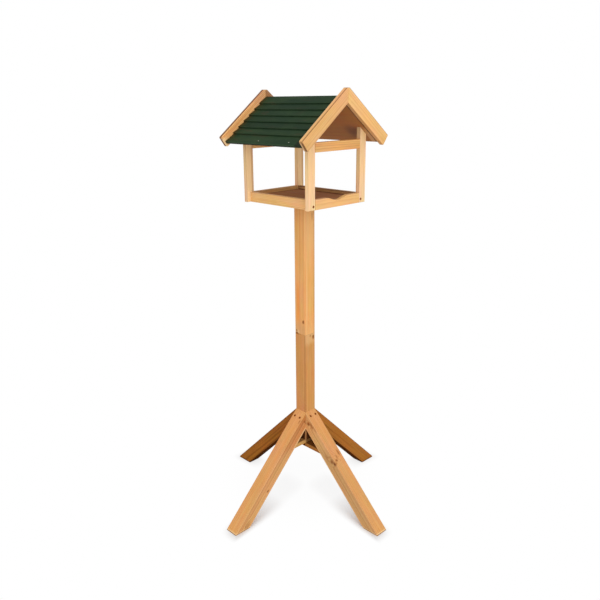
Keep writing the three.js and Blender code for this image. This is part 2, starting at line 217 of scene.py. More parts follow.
def band(tree, value, low, high, soft=0.002):
    """1 between low and high, easing to 0 on both sides."""
    rise = ease(tree, value, low - soft, low + soft)
    return product(tree, rise, ease(tree, value, high + soft, high - soft))


def new_material(name):
    """A material, its tree, its shader, and places on the piece in the shared frame."""
    material = bpy.data.materials.new(name)
    material.use_nodes = True
    tree = material.node_tree
    place = wire(tree, "ShaderNodeTexCoord").outputs["Object"]
    return material, tree, tree.nodes["Principled BSDF"], place


def timber(name, colours, centre, turn, pith, knots=(), masks=None, gloss=0.2, **settings):
    """Oiled softwood for one piece, whose grain runs along Z turned by turn, about centre. Its
    colours are those of early wood, late wood and warm streaks. Each knot is its centre in the
    shared frame, its half sizes in the piece's own frame, its heart, its bark, and how far the
    rings sweep round it. The function masks returns Pale, Dark and Warmth from places in the
    piece's own frame and in the shared one."""
    material, tree, shader, shared = new_material(name)
    inputs = {"Vector": shared, "Location": centre, "Rotation": turn}
    place = wire(tree, "ShaderNodeMapping", {"vector_type": "TEXTURE"}, inputs).outputs[0]
    turned = Euler(turn).to_matrix()
    marks = {"Bulge": 0.0, "Core": 0.0, "Rim": 0.0}
    for knot_centre, knot_size, heart, bark, sweep in knots:
        knot_centre = turned.inverted() @ (Vector(knot_centre) - Vector(centre))
        inputs = {"Place": place, "Centre": knot_centre, "Size": knot_size, "Heart": heart,
                  "Bark": bark, "Sweep": sweep, **marks}
        grown = wire(tree, "ShaderNodeGroup", {"node_tree": knot}, inputs)
        marks = {mark: grown.outputs[mark] for mark in marks}
    if masks:
        worn = masks(tree, split(tree, place), split(tree, shared))
        marks.update(zip(("Pale", "Dark", "Warmth"), worn))
    early, late, warm = (stain(*colour) for colour in colours)
    normal = wire(tree, "ShaderNodeNewGeometry").outputs["True Normal"]
    inputs = {"Place": place, "Normal": normal, "Grain": turned @ Vector((0, 0, 1)), "Pith": pith,
              "Early": early, "Late": late, "Warm": warm, **settings, **marks}
    wood = wire(tree, "ShaderNodeGroup", {"node_tree": softwood}, inputs).outputs
    inputs = {"Height": wood["Height"], "Strength": 0.35, "Distance": 0.0004}
    plug(tree, shader, {"Base Color": wood["Color"], "Roughness": wood["Roughness"],
                        "Specular IOR Level": gloss, "Normal": wire(tree, "ShaderNodeBump", {}, inputs)})
    return material


def dress(name, material):
    """Gives a CAD node its finish."""
    slots = cad[name].data.materials
    slots.clear()
    slots.append(material)


UPRIGHT = (0.0, 0.0, 0.0)
LEG_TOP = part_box("right_leg")[1].z
half = POST_SIDE / 2
upper_middle, lower_middle = (POST_JOINT + POST_TOP) / 2, (POST_FOOT + POST_JOINT) / 2
upper_knots = [
    ((-half, -0.0155, 0.6651), (0.02, 0.0046, 0.0064), 1.0, 0.35, 0.006),
    ((-half, 0.0160, 0.6290), (0.02, 0.0034, 0.0036), 0.8, 0.5, 0.004),
    ((-half, 0.0150, 0.6215), (0.02, 0.0048, 0.0020), 1.0, 1.0, 0.0),
    ((0.0020, -half, 0.6500), (0.0090, 0.02, 0.0220), 0.0, 0.0, 0.006),
    ((0.0110, -half, 1.0180), (0.0011, 0.02, 0.0130), 1.0, 0.9, 0.0),
]
lower_knots = [((-half, 0.0120, 0.6190), (0.02, 0.0120, 0.0030), 0.8, 0.5, 0.0),
               ((0.0148, -half, 0.6045), (0.0052, 0.02, 0.0075), 0.9, 0.6, 0.004),
               ((0.0010, -half, 0.6120), (0.0036, 0.02, 0.0040), 0.5, 0.2, 0.0)]


def upper_masks(tree, local, shared):
    """A chipped corner above the joint, a resinous streak down the left face, and a pale and a
    brown one on the front, which is paler toward the joint."""
    chip = band(tree, local["Y"], 0.002, 0.019, 0.003)
    chip = product(tree, chip, band(tree, shared["Z"], 0.6205, 0.633, 0.003), 0.5)
    near = product(tree, band(tree, local["X"], -0.018, -0.011), 0.25)
    front_face = ease(tree, local["Y"], -0.0215, -0.0230)
    foot = product(tree, front_face, ease(tree, shared["Z"], 0.70, 0.63), 0.16)
    head = product(tree, front_face, ease(tree, shared["Z"], 0.80, 0.95), 0.2)
    brown = product(tree, ease(tree, local["X"], 0.013, 0.020), 0.17)
    back_edge = product(tree, ease(tree, local["Y"], 0.0195, 0.0220), 0.20)
    left_face = ease(tree, local["X"], -0.0215, -0.0230)
    dull = product(tree, left_face, ease(tree, shared["Z"], 0.675, 0.645), 0.14)
    resin = product(tree, left_face, band(tree, local["Y"], 0.003, 0.015, 0.003),
                    band(tree, shared["Z"], 0.650, 0.800, 0.050), 0.95)
    return most(tree, chip, near, foot, head, dull), most(tree, brown, dull, back_edge), resin


def lower_masks(tree, local, shared):
    """The foot, where it stands between the legs, is darkened as painted shade, with a painted
    highlight along its near arris. The top of the front face is paler."""
    arris = ease(tree, local["X"], -0.0185, -0.0205)
    arris = product(tree, arris, ease(tree, local["Y"], -0.0185, -0.0205))
    under_legs = ease(tree, shared["Z"], LEG_TOP - 0.058, LEG_TOP - 0.068)
    front_face = ease(tree, local["Y"], -0.0215, -0.0230)
    ragged = noise(tree, combine(tree, *local), (160, 160, 40), 3.0)
    level = maths(tree, "MULTIPLY_ADD", ragged, 0.05, shared["Z"])
    pale_top = product(tree, front_face, ease(tree, level, POST_JOINT - 0.020, POST_JOINT + 0.004), 0.27)
    # Painted highlight along the near arris, and painted shade on the foot between the legs.
    thinned = product(tree, arris, under_legs, 0.12)
    painted_shade = product(tree, under_legs, maths(tree, "MULTIPLY_ADD", arris, -0.55, 1.0), 0.96)
    edge = product(tree, arris, maths(tree, "SUBTRACT", 1.0, under_legs), 0.22)
    seam = product(tree, ease(tree, shared["Z"], POST_JOINT - 0.0030, POST_JOINT - 0.0010), 0.12)
    return most(tree, pale_top, thinned), most(tree, painted_shade, edge, seam)


upper_wood = timber("upper_post_wood", ((236, 180, 110), (206, 134, 70), (234, 150, 74)),
                    (0, 0, upper_middle), UPRIGHT, (0.05, -0.03, 0), upper_knots, upper_masks)
lower_wood = timber("lower_post_wood", ((216, 159, 99), (180, 114, 62), (202, 131, 68)),
                    (0, 0, lower_middle), UPRIGHT, (-0.03, 0.06, 0), lower_knots, lower_masks, 0.0)
dowel_wood = timber("dowel_wood", ((226, 190, 146), (204, 160, 112), (214, 172, 126)),
                    (0, 0, POST_JOINT), UPRIGHT, (0.02, 0.01, 0), **{"Ring Width": 0.0015})
dress("upper_post", upper_wood)
dress("lower_post", lower_wood)
dress("post_joint_dowel", dowel_wood)

# Legs
# Four lengths of the same square pine, mitred plumb against the post and sawn level at the foot.
# They rake at 45 degrees, one from each face of the post. The rear pair is of redder wood.
LEG_RAKE = math.radians(45)
leg_turns = {"right": 0, "rear": math.pi / 2, "left": math.pi, "front": -math.pi / 2}
leg_under = LEG_TOP - POST_SIDE / math.cos(LEG_RAKE)
leg_middle = (LEG_TOP + leg_under) / 4
leg_middle_out = POST_SIDE / 2 + leg_middle / math.tan(LEG_RAKE)
near_colours = {"left": ((231, 175, 109), (195, 130, 71), (225, 152, 84)),
                "front": ((227, 173, 109), (190, 126, 69), (219, 150, 85))}
rear_colours = {"right": ((170, 108, 51), (124, 70, 27), (182, 116, 48)),
                "rear": ((164, 103, 46), (118, 67, 24), (176, 110, 44))}
leg_knots = {
    "front": [((-half, -0.0370, 0.2955), (0.0075, 0.014, 0.0070), 1.0, 0.35, 0.006),
              ((-half, -0.0510, 0.2925), (0.0060, 0.014, 0.0130), 0.7, 0.0, 0.004),
              ((-half, -0.0650, 0.2850), (0.0045, 0.014, 0.0140), 0.45, 0.0, 0.0),
              ((-half, -0.1498, 0.1925), (0.0085, 0.0120, 0.0080), 0.8, 0.25, 0.006),
              ((-half, -0.1619, 0.1885), (0.0062, 0.0120, 0.0068), 1.0, 0.5, 0.006),
              ((-half, -0.1250, 0.1960), (0.0036, 0.0080, 0.0130), 0.5, 0.0, 0.0),
              ((-0.0040, -0.1560, 0.2025), (0.0120, 0.0170, 0.0150), 0.0, 0.0, 0.012),
              ((-0.0122, -0.1602, 0.1978), (0.0100, 0.0050, 0.0046), 0.9, 0.3, 0.0),
              ((-0.0040, -0.1530, 0.2050), (0.0100, 0.0034, 0.0080), 0.6, 0.0, 0.0),
              ((0.0118, -0.1450, 0.2130), (0.0100, 0.0044, 0.0110), 0.7, 0.2, 0.0)],
    "left": [((-0.2072, -half, 0.1035), (0.0036, 0.010, 0.0050), 0.8, 0.5, 0.003),
             ((-0.0510, -0.0200, 0.3070), (0.0090, 0.0024, 0.0080), 0.7, 0.0, 0.0),
             ((-0.0265, -half, 0.2980), (0.0080, 0.0100, 0.0036), 0.8, 0.2, 0.0),
             ((-0.3040, -half, 0.0150), (0.0100, 0.010, 0.0150), 0.35, 0.1, 0.003)],
    "right": [((0.1900, half, 0.1500), (0.005, 0.010, 0.007), 0.6, 0.5, 0.006)],
    "rear": [((half, 0.1900, 0.1400), (0.005, 0.010, 0.006), 0.6, 0.5, 0.006)],
}


def near_leg_masks(sign, highlight_share, high_pale, high_dark, low_pale, low_dark):
    """For the leg whose face at local Y times sign looks toward the other near leg. That face is
    greyed with painted light and painted shade, by one measure near the post and another further
    down, and its lower arris has a painted highlight near the post. The sawn edges of the sole have
    a painted highlight above a painted contact shadow."""
    def masks(tree, local, shared):
        inner = ease(tree, product(tree, local["Y"], sign), half - 0.0024, half - 0.0008)
        lower = ease(tree, local["X"], half - 0.0085, half - 0.0060)
        high = ease(tree, shared["Z"], 0.20, 0.24)
        low = maths(tree, "SUBTRACT", 1.0, high)
        # Painted highlight on the lower arris near the post, painted light and painted shade greying the
        # inner face, a painted highlight on the sole's edges and a painted contact shadow below it.
        arris_highlight = product(tree, lower, high, highlight_share)
        painted_light = product(tree, inner, maths(tree, "MULTIPLY_ADD", low, low_pale - high_pale, high_pale))
        sole = product(tree, band(tree, shared["Z"], 0.0030, 0.0065, 0.0008), 0.5)
        stained = product(tree, inner, maths(tree, "SUBTRACT", 1.0, lower),
                          maths(tree, "MULTIPLY_ADD", low, low_dark - high_dark, high_dark))
        rim = product(tree, ease(tree, shared["Z"], 0.0028, 0.0012), 0.6)
        return most(tree, arris_highlight, painted_light, sole), most(tree, stained, rim)
    return masks


def rear_leg_masks(tree, local, shared):
    """Painted shade on the underside and lower arris, on the top and its arris, and at the soles."""
    # Painted shade on the underside, the top and the soles.
    lower = product(tree, ease(tree, local["X"], half - 0.0050, half - 0.0020), 0.92)
    upper = product(tree, ease(tree, local["X"], 0.0030 - half, 0.0012 - half), 0.45)
    sole = product(tree, ease(tree, shared["Z"], 0.0050, 0.0025), 0.7)
    return 0.0, most(tree, lower, upper, sole)


inner_faces = {"left": near_leg_masks(1.0, 0.6, 0.0, 0.16, 0.15, 0.10),
               "front": near_leg_masks(-1.0, 0.25, 0.16, 0.05, 0.16, 0.22)}
for index, (side, turn) in enumerate(leg_turns.items()):
    near_camera = side in ("left", "front")
    masks = inner_faces[side] if near_camera else rear_leg_masks
    colours = (near_colours if near_camera else rear_colours)[side]
    centre = (leg_middle_out * math.cos(turn), leg_middle_out * math.sin(turn), leg_middle)
    wood = timber(side + "_leg_wood", colours, centre, (0, math.pi - LEG_RAKE, turn),
                  (0.03 - 0.02 * index, 0.05, 0), leg_knots[side], masks, 0.2 if near_camera else 0.0,
                  Contrast=1.15 if near_camera else 0.75, Streaks=0.6 if near_camera else 0.75)
    dress(side + "_leg", wood)

# Braces
# Two pine battens under the post's foot, one crossing below the other. Their ends seat against
# the undersides of the legs. The lower one is browner.
ALONG_X, ALONG_Y = (0.0, math.pi / 2, 0.0), (-math.pi / 2, 0.0, 0.0)


def middle_of(name):
    low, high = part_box(name)
    return (low + high) / 2


upper_brace = ((214, 170, 108), (180, 130, 68), (200, 144, 76))
lower_brace = ((171, 120, 60), (131, 84, 35), (158, 99, 42))
# A knot and a dark spot, both painted shadow where the upper brace crosses the lower one.
crossing_shadow_knot = [((-0.0200, -0.0138, 0.2013), (0.0036, 0.0040, 0.0036), 1.0, 1.0, 0.0)]
CROSSING_SHADOW = (-0.0200, -0.0125, 0.2020)


def lower_brace_masks(tree, local, shared):
    """The top of the lower brace is darker and warmer as painted shade, and a dark spot at its near
    corner is painted shadow where the braces cross."""
    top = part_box("brace_along")[1].z
    # Painted shade on the top.
    painted_shade = ease(tree, shared["Z"], top - 0.0014, top - 0.0004)
    away = measure(tree, "DISTANCE", combine(tree, *shared), CROSSING_SHADOW)
    # Painted shadow where the braces cross.
    crossing_shadow = product(tree, ease(tree, away, 0.0060, 0.0034), 0.9)
    return 0.0, most(tree, product(tree, painted_shade, 0.65), crossing_shadow), product(tree, painted_shade, 0.5)


def upper_brace_masks(tree, local, shared):
    """The top of the upper one is darker too as painted shade, and so is the brace from under the post to
    its right end.
    """
    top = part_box("brace_across")[1].z
    # Painted shade on the top, and from under the post to the right end.
    painted_shade = product(tree, ease(tree, shared["Z"], top - 0.0014, top - 0.0004), 0.45)
    return 0.0, most(tree, painted_shade, product(tree, ease(tree, shared["X"], -0.024, -0.014), 0.7))


upper_brace_wood = timber("upper_brace_wood", upper_brace, middle_of("brace_across"), ALONG_X,
                          (0.03, 0.012, 0), (), upper_brace_masks, 0.0)
lower_brace_wood = timber("lower_brace_wood", lower_brace, middle_of("brace_along"), ALONG_Y,
                          (0.02, 0.03, 0), crossing_shadow_knot, lower_brace_masks, 0.0)
dress("brace_across", upper_brace_wood)
dress("brace_along", lower_brace_wood)

# Tray floor
# A thin pine panel stained dark brown, let in a little below the tops of the rails, nailed
# through the gable rails and screwed down to the post.
floor_colours = ((170, 124, 92), (140, 97, 68), (160, 109, 74))
floor_wood = timber("floor_wood", floor_colours, middle_of("tray_floor"), ALONG_Y, (0.03, 0.02, 0),
                    gloss=0.0, Streaks=0.4)
dress("tray_floor", floor_wood)

# Rails
# Four pale pine battens round the tray. The front one is scooped along its upper edge, and the
# side ones are screwed through the corner posts. Their inner faces took up the floor's stain.
rail_colours = ((240, 192, 128), (212, 148, 86), (234, 168, 98))


def rail_masks(axis, sign, strength):
    """Stain on the face that looks along the axis given, with sign, in streaks along the rail,
    darkest by the upper arris and the floor."""
    def masks(tree, local, shared):
        name, length = ("front_rail", "X") if axis == "Y" else ("left_rail", "Y")
        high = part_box(name)[1]
        inner = high.y if axis == "Y" else high.x
        face = ease(tree, product(tree, shared[axis], sign), inner - 0.0016, inner - 0.0004)
        streaks = noise(tree, combine(tree, shared[length], z=shared["Z"]), (14, 1, 330), 3.0, 0.6)
        soak = maths(tree, "MULTIPLY_ADD", ease(tree, streaks, 0.3, 0.7), 0.4, 0.35)
        edges = most(tree, ease(tree, shared["Z"], high.z - 0.0035, high.z - 0.0010),
                     ease(tree, shared["Z"], high.z - 0.0080, high.z - 0.0105))
        soak = product(tree, face, most(tree, soak, product(tree, edges, 0.95)))
        top = product(tree, ease(tree, shared["Z"], high.z - 0.0012, high.z - 0.0004), 0.5)
        return 0.0, product(tree, most(tree, soak, top), strength)
    return masks


rails = {"front": (ALONG_X, "Y", 1.0, 0.3), "rear": (ALONG_X, "Y", -1.0, 0.6),
         "left": (ALONG_Y, "X", 1.0, 0.3), "right": (ALONG_Y, "X", -1.0, 1.0)}
for side, (turn, axis, sign, strength) in rails.items():
    name = side + "_rail"
    wood = timber(name + "_wood", rail_colours, middle_of(name), turn, (0.012, 0.03, 0), (),
                  rail_masks(axis, sign, strength), Streaks=0.4)
    dress(name, wood)

# Corner posts and gable ties
# Upright pine battens of the palest wood, their tops sawn to the roof's slope, and a tie across
# each gable, pegged and glued between them.
corner_colours = ((251, 214, 166), (211, 155, 99), (243, 196, 134))
tie_colours = ((240, 190, 122), (192, 130, 72), (222, 152, 82))
EAVE_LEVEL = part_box("left_roof_lining")[0].z


def corner_masks(gable, side):
    """Inner faces are darkened as painted shade, more so near the lining. The outer faces carry
    painted light on the front posts and painted shade on the rear ones, the front faces of the rear
    ones painted light, and a resinous line runs down one edge of those."""
    low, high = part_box(f"{gable}_{side}_corner_post")
    half_width, half_depth = (high.x - low.x) / 2, (high.y - low.y) / 2
    within = 1.0 if side == "left" else -1.0
    side_shade = 0.10 if side == "left" or gable == "front" else 0.0

    def masks(tree, local, shared):
        across = product(tree, local["X"], within)
        side_face = ease(tree, across, half_width - 0.0014, half_width - 0.0004)
        outer_face = ease(tree, across, 0.0014 - half_width, 0.0004 - half_width)
        near_lining = ease(tree, shared["Z"], EAVE_LEVEL - 0.02, EAVE_LEVEL + 0.05)
        # Painted shade on the inner face, more near the lining.
        dark = most(tree, product(tree, side_face, side_shade), product(tree, side_face, near_lining, 0.35))
        # Painted light on the outer face of the front posts.
        if gable == "front":
            return product(tree, outer_face, 0.3), dark
        front_face = ease(tree, local["Y"], 0.0014 - half_depth, 0.0004 - half_depth)
        line = product(tree, front_face, ease(tree, local["X"], 0.0040, 0.0070))
        # Painted light on the front face of the rear posts, beside a resinous line, and painted shade on
        # their outer face.
        painted_light = maths(tree, "SUBTRACT", front_face, line)
        dark = most(tree, dark, product(tree, line, 0.22), product(tree, outer_face, 0.16))
        warm = most(tree, product(tree, line, 0.6), product(tree, painted_light, 0.4))
        return product(tree, painted_light, 0.7), dark, warm
    return masks


for gable in ("front", "rear"):
    for side in ("left", "right"):
        name = f"{gable}_{side}_corner_post"
        wood = timber(name + "_wood", corner_colours, middle_of(name), UPRIGHT, (0.02, 0.015, 0), (),
                      corner_masks(gable, side), Contrast=0.7, Streaks=0.45)
        dress(name, wood)
    name = gable + "_gable_tie"
    wood = timber(name + "_wood", tie_colours, middle_of(name), ALONG_X, (0.02, 0.02, 0),
                  Contrast=0.9, Streaks=0.7)
    dress(name, wood)

# Screws
# Countersunk wood screws of bronzed steel with a cross recess: two through the top of every leg,
# one low in each corner post, two down through the tray floor, one up through the braces, and one
# through each end of the lining into a corner post.
SCREW_HEAD, SCREW_SHANK, SCREW_SINK = 0.008, 0.004, 0.0005
SCREW_HEAD_DEPTH, SCREW_RIM, SCREW_TIP = 0.0028, 0.0004, 0.005
LEG_SCREW_SPACING, LEG_SCREW_LENGTH = 0.024, 0.045
leg_screw_out = {"right": 0.018, "left": 0.018, "rear": 0.0135, "front": 0.0135}


def turned_pin():
    """A pin turned about Z from a head at the origin down to a point, with a cross recess cut
    in the head if it has one, set on every vertex along its "drive" direction."""
    tree, given, made = new_group("turned_pin", {
        "Geometry": ("Geometry", None), "Head": ("Float", 0.008), "Rim": ("Float", 0.0004),
        "Head Depth": ("Float", 0.0028), "Shank": ("Float", 0.004), "Length": ("Float", 0.045),
        "Tip": ("Float", 0.005), "Recess": ("Float", 0.0), "Dome": ("Float", 0.0),
        "Sides": ("Int", 24), "Material": ("Material", None),
    }, {"Geometry": "Geometry"}, "GeometryNodeTree")
    head = product(tree, given["Head"], 0.5)
    shank = product(tree, given["Shank"], 0.5)
    tip_start = maths(tree, "SUBTRACT", given["Tip"], given["Length"])
    heights = [given["Dome"], 0.0, product(tree, given["Rim"], -1.0),
               product(tree, given["Head Depth"], -1.0), tip_start, product(tree, given["Length"], -1.0)]
    radii = [product(tree, head, 0.7), head, head, shank, shank, product(tree, shank, 0.15)]
    station = wire(tree, "GeometryNodeInputIndex")

    def by_station(values):
        switch = wire(tree, "GeometryNodeIndexSwitch", {"data_type": "FLOAT"})
        while len(switch.index_switch_items) < len(values):
            switch.index_switch_items.new()
        plug(tree, switch, {"Index": station} | dict(enumerate(values, 1)))
        return switch

    line = wire(tree, "GeometryNodeCurvePrimitiveLine", {}, {"Start": (0, 0, 0), "End": (0, 0, -1)})
    stations = wire(tree, "GeometryNodeResampleCurve", {}, {"Curve": line, "Count": len(heights)})
    inputs = {"Geometry": stations, "Position": combine(tree, z=by_station(heights))}
    axis = wire(tree, "GeometryNodeSetPosition", {}, inputs)
    ring = wire(tree, "GeometryNodeCurvePrimitiveCircle", {}, {"Resolution": given["Sides"], "Radius": 1.0})
    inputs = {"Curve": axis, "Profile Curve": ring, "Scale": by_station(radii), "Fill Caps": True}
    body = wire(tree, "GeometryNodeCurveToMesh", {}, inputs)
    blade_size = combine(tree, given["Recess"], product(tree, given["Recess"], 0.2), given["Head Depth"])
    blade = wire(tree, "GeometryNodeMeshCube", {}, {"Size": blade_size})
    crossed = wire(tree, "GeometryNodeTransform", {}, {"Geometry": blade, "Rotation": (0, 0, math.pi / 2)})
    settings = {"operation": "DIFFERENCE", "solver": "EXACT"}
    cut = wire(tree, "GeometryNodeMeshBoolean", settings, {"Mesh 1": body})
    for cutter in (blade, crossed):
        tree.links.new(cutter.outputs[0], cut.inputs["Mesh 2"])
    has_recess = maths(tree, "GREATER_THAN", given["Recess"], 0.0)
    inputs = {"Switch": has_recess, "False": body, "True": cut}
    pin = wire(tree, "GeometryNodeSwitch", {"input_type": "GEOMETRY"}, inputs)
    settings = {"data_type": "FLOAT_VECTOR"}
    drive = wire(tree, "GeometryNodeInputNamedAttribute", settings, {"Name": "drive"})
    aligned = wire(tree, "FunctionNodeAlignRotationToVector", {"axis": "Z"}, {"Vector": drive})
    inputs = {"Min": (0, 0, 0), "Max": (0, 0, math.tau), "Seed": 7}
    spin = wire(tree, "FunctionNodeRandomValue", settings, inputs)
    turned = wire(tree, "FunctionNodeRotateRotation", {"rotation_space": "LOCAL"}, {0: aligned, 1: spin})
    points = wire(tree, "GeometryNodeMeshToPoints", {}, {"Mesh": given["Geometry"]})
    inputs = {"Points": points, "Instance": pin, "Rotation": turned}
    placed = wire(tree, "GeometryNodeInstanceOnPoints", {}, inputs)
    real = wire(tree, "GeometryNodeRealizeInstances", {}, {0: placed})
    inputs = {"Geometry": real, "Material": given["Material"]}
    finished = wire(tree, "GeometryNodeSetMaterial", {}, inputs)
    tree.links.new(finished.outputs[0], made["Geometry"])
    return tree


def settle(piece, tree, values):
    """Runs a geometry tree on a piece with the given inputs and keeps the result as its mesh."""
    modifier = piece.modifiers.new(tree.name, "NODES")
    modifier.node_group = tree
    for item in tree.interface.items_tree:
        if item.in_out == "INPUT" and item.name in values:
            modifier[item.identifier] = values[item.name]
    evaluated = piece.evaluated_get(bpy.context.evaluated_depsgraph_get())
    mesh = bpy.data.meshes.new_from_object(evaluated)
    piece.modifiers.remove(modifier)
    piece.data = mesh
    mesh.shade_smooth()
    mesh.set_sharp_from_angle(angle=math.radians(32))
    return piece


def new_piece(name, mesh):
    piece = bpy.data.objects.new(name, mesh)
    bpy.context.scene.collection.objects.link(piece)
    return piece


pins = turned_pin()


def drive_pins(name, heads, sizes, material):
    """One mesh of like screws or nails. Each head is a point and the direction it faces."""
    mesh = bpy.data.meshes.new(name)
    mesh.from_pydata([point for point, _ in heads], [], [])
    drive = mesh.attributes.new("drive", "FLOAT_VECTOR", "POINT")
    for index, (_, facing) in enumerate(heads):
        drive.data[index].vector = facing
    return settle(new_piece(name, mesh), pins, {**sizes, "Material": material})


def bronzed_steel():
    material, tree, shader, place = new_material("bronzed_steel")
    mottle = noise(tree, place, (900, 900, 900), 3.0)
    colour = blend(tree, mottle, stain(118, 56, 16), stain(160, 88, 34))
    roughness = maths(tree, "MULTIPLY_ADD", mottle, 0.3, 0.4)
    plug(tree, shader, {"Base Color": colour, "Roughness": roughness, "Metallic": 0.1,
                        "Specular IOR Level": 0.1})
    return material


screw_steel = bronzed_steel()
screw_sizes = {"Head": SCREW_HEAD, "Rim": SCREW_RIM, "Head Depth": SCREW_HEAD_DEPTH,
               "Shank": SCREW_SHANK, "Tip": SCREW_TIP, "Recess": 0.0044}


def sunk(point, facing, sink=SCREW_SINK):
    return Vector(point) - Vector(facing) * sink, facing


leg_heads = []
for side, turn in leg_turns.items():
    out = leg_screw_out[side]
    for across in (-LEG_SCREW_SPACING / 2, LEG_SCREW_SPACING / 2):
        point = Vector((POST_SIDE / 2 + out, across, LEG_TOP - out * math.tan(LEG_RAKE)))
        facing = Vector((math.sin(LEG_RAKE), 0, math.cos(LEG_RAKE)))
        about = Matrix.Rotation(turn, 3, "Z")
        leg_heads.append(sunk(about @ point, about @ facing))
sizes = {**screw_sizes, "Length": LEG_SCREW_LENGTH - SCREW_SINK}
leg_screws = drive_pins("leg_screws", leg_heads, sizes, screw_steel)
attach(leg_screws, "root")
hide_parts(*[f"{side}_leg_screw_{number}" for side in leg_turns for number in (1, 2)])

FRAME_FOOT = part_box("front_rail")[0].z
FLOOR_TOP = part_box("tray_floor")[1].z
HALF_FRAME_WIDTH, HALF_FRAME_DEPTH = 0.1265, 0.144
SIDE_RAIL_CENTRE, CORNER_SCREW_RISE, CORNER_SCREW_LENGTH = 0.106, 0.011, 0.045
TRAY_SCREW_OFFSET, BRACE_SCREW_LENGTH = 0.011, 0.065
frame_heads = []
for side in (-1, 1):
    point = (TRAY_SCREW_OFFSET * side, TRAY_SCREW_OFFSET * side, FLOOR_TOP)
    frame_heads.append(sunk(point, (0, 0, 1)))
for end in (-1, 1):
    for side in (-1, 1):
        point = (SIDE_RAIL_CENTRE * side, HALF_FRAME_DEPTH * end, FRAME_FOOT + CORNER_SCREW_RISE)
        frame_heads.append(sunk(point, (0, end, 0)))
sizes = {**screw_sizes, "Length": CORNER_SCREW_LENGTH - SCREW_SINK}
house_screws = drive_pins("house_screws", frame_heads, sizes, screw_steel)
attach(house_screws, "root")
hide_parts("tray_screw_1", "tray_screw_2",
            *[f"{gable}_{side}_corner_screw" for gable in ("front", "rear") for side in ("left", "right")])
brace_head = sunk((0, 0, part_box("brace_along")[0].z), (0, 0, -1))
sizes = {**screw_sizes, "Length": BRACE_SCREW_LENGTH - SCREW_SINK}
brace_screw = drive_pins("brace_screws", [brace_head], sizes, screw_steel)
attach(brace_screw, "root")
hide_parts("brace_screw")
for end in ("front", "rear"):
    for side in ("left", "right"):
        dress(f"{end}_{side}_corner_roof_screw", screw_steel)

# Roof lining
# One thin pine board to a slope, oiled brown underneath, from the ridge to just above the eave,
# screwed down to the sloped tops of the corner posts.
ROOF_PITCH, ROOF_SETBACK, PEAK_OVER_FRAME = math.radians(37.5), 0.002, 0.3045
ROOF_PEAK = FRAME_FOOT + PEAK_OVER_FRAME
LINING_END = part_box("left_roof_lining")[1].y - ROOF_SETBACK
POST_HEAD_SHADOW = (0.118, -0.100, 1.277)
lining_colours = ((167, 105, 44), (131, 77, 28), (152, 89, 31))


def lining_masks(tree, local, shared):
    """Painted shadow lies along the barge boards and round the head of the front right post, and
    the overhang between them is paler and warmer low down, as painted light."""
    end = maths(tree, "ABSOLUTE", maths(tree, "SUBTRACT", shared["Y"], ROOF_SETBACK))
    # Painted shadow along the barge boards.
    by_barge = product(tree, ease(tree, end, LINING_END - 0.011, LINING_END - 0.006), 0.8)
    # Painted shadow round the head of the front right post.
    away = measure(tree, "DISTANCE", combine(tree, *shared), POST_HEAD_SHADOW)
    by_post = product(tree, ease(tree, away, 0.045, 0.010), 0.5)
    # Painted light on the overhang low down.
    overhang = product(tree, ease(tree, end, LINING_END - 0.026, LINING_END - 0.023),
                       ease(tree, end, LINING_END - 0.006, LINING_END - 0.011),
                       ease(tree, shared["Z"], 1.305, 1.272))
    return product(tree, overhang, 0.27), most(tree, by_barge, by_post), product(tree, overhang, 0.5)


for side in ("left", "right"):
    name = side + "_roof_lining"
    wood = timber(name + "_wood", lining_colours, middle_of(name), ALONG_Y, (0.05, 0.08, 0), (),
                  lining_masks, Streaks=0.4)
    dress(name, wood)

# Roof boards
# Seven tapered boards to a slope, stained dark green and nailed to the lining. Each is rebated
# over the feather edge of the next one down, and the edges of its butt are worn round. The eave
# board is wider and has a full butt.
BOARD_COUNT, BOARD_LAP, TOP_BOARD_WIDTH, EAVE_BOARD_WIDTH = 7, 0.0105, 0.031, 0.050
BUTT_THICKNESS, FEATHER_THICKNESS, BOARD_GAP = 0.0095, 0.0035, 0.0003
LINING_THICKNESS, EAVE_OVERHANG, GABLE_OVERHANG = 0.006, 0.039, 0.025
BOARD_WEAR, BOARD_BOW, BOARD_END_GAP = 0.0012, 0.0004, 0.0002
EAVE_RUN = (HALF_FRAME_WIDTH + EAVE_OVERHANG) / math.cos(ROOF_PITCH)
ROOF_HALF_LENGTH = HALF_FRAME_DEPTH + GABLE_OVERHANG


def ridge_at(rise):
    """Where the plumb face over the ridge stands, at a height above the roof's underside."""
    return BOARD_GAP / 2 / math.cos(ROOF_PITCH) - rise * math.tan(ROOF_PITCH)


